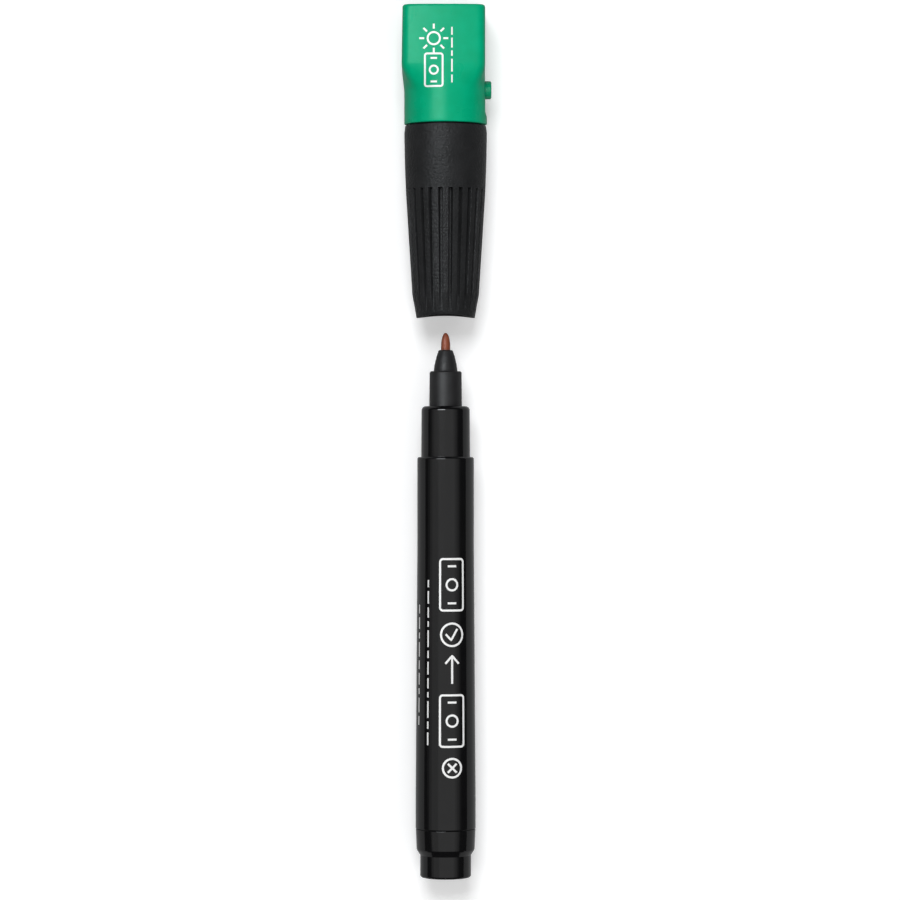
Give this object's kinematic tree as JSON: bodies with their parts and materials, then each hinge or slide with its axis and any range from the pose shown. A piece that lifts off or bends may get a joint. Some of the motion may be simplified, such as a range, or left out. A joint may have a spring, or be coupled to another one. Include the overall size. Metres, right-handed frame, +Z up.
{
  "type": "counterfeit detector pen",
  "caption": "Marker for testing banknotes: a tapered black pen with a fibre bullet nib and a pull-off ribbed cap that holds a push-button ultraviolet light in a green head.",
  "frame": {"origin": "bottom centre of the object's box: on the surface the cap's head rests on, below the middle of the pen and open cap laid end to end", "axes": "+Y along the common axis of pen and cap, from the pen's tail to the light's end; +Z up; +X towards the push button"},
  "size_m": [0.0185, 0.1786, 0.0171],
  "materials": {
    "barrel_gloss": "high-gloss injection moulding",
    "holder_matt": "satin moulding",
    "nib_fibre": "bonded acrylic fibre wetted with iodine ink",
    "reservoir_fibre": "bundled polyester fibre soaked in ink",
    "clear_film": "clear film",
    "sleeve_matt": "fine matt texture",
    "liner_white": "natural polyethylene",
    "head_green": "satin green moulding",
    "spring_steel": "drawn wire and sheet, nickel plated",
    "plated_steel": "tin plated",
    "contact_brass": "stamped strip",
    "cell_steel": "nickel plated, drawn",
    "cell_core": "pressed powder and gel",
    "gasket_nylon": "moulded nylon",
    "chassis_grey": "moulded ABS",
    "board_green": "solder mask over glass laminate",
    "switch_black": "moulded nylon",
    "component_black": "glazed resistor body",
    "lens_clear": "clear epoxy",
    "chip_violet": "semiconductor chip"
  },
  "bodies": {
    "pen": {"barrel": "barrel_gloss", "tail_plug": "barrel_gloss", "nib_holder": "holder_matt", "nib": "nib_fibre", "ink_reservoir": "reservoir_fibre", "reservoir_film": "clear_film"},
    "sleeve": {"cap_sleeve": "sleeve_matt", "seal_liner": "liner_white", "negative_spring": "spring_steel", "return_strip": "contact_brass", "battery_tube": "clear_film", "cell_1_can": "cell_steel", "cell_1_core": "cell_core", "cell_1_gasket": "gasket_nylon", "cell_1_cap": "cell_steel", "cell_2_can": "cell_steel", "cell_2_core": "cell_core", "cell_2_gasket": "gasket_nylon", "cell_2_cap": "cell_steel", "cell_3_can": "cell_steel", "cell_3_core": "cell_core", "cell_3_gasket": "gasket_nylon", "cell_3_cap": "cell_steel"},
    "head": {"uv_head": "head_green", "light_chassis": "chassis_grey", "positive_contact": "contact_brass", "negative_contact": "contact_brass", "circuit_board": "board_green", "switch_body": "switch_black", "switch_frame": "plated_steel", "switch_pins": "plated_steel", "switch_dome": "spring_steel", "resistor_body": "component_black", "resistor_ends": "plated_steel", "led_lens": "lens_clear", "led_chip": "chip_violet", "led_anode": "plated_steel", "led_cathode": "plated_steel"},
    "button": {"button_cap": "head_green", "switch_plunger": "switch_black"}
  },
  "joints": [
    {"name": "cap_slide", "type": "slide", "parent": "pen", "child": "sleeve", "axis": [0, -1, 0], "range_m": [0, 0.02845]},
    {"name": "head_pull", "type": "slide", "parent": "sleeve", "child": "head", "axis": [0, 1, 0], "range_m": [0, 0.012]},
    {"name": "button_press", "type": "slide", "parent": "head", "child": "button", "axis": [-1, 0, 0], "range_m": [0, 0.0003], "stiffness_N_per_m": 1500, "springref_m": -0.0003, "deforming": ["switch_dome"]}
  ]
}
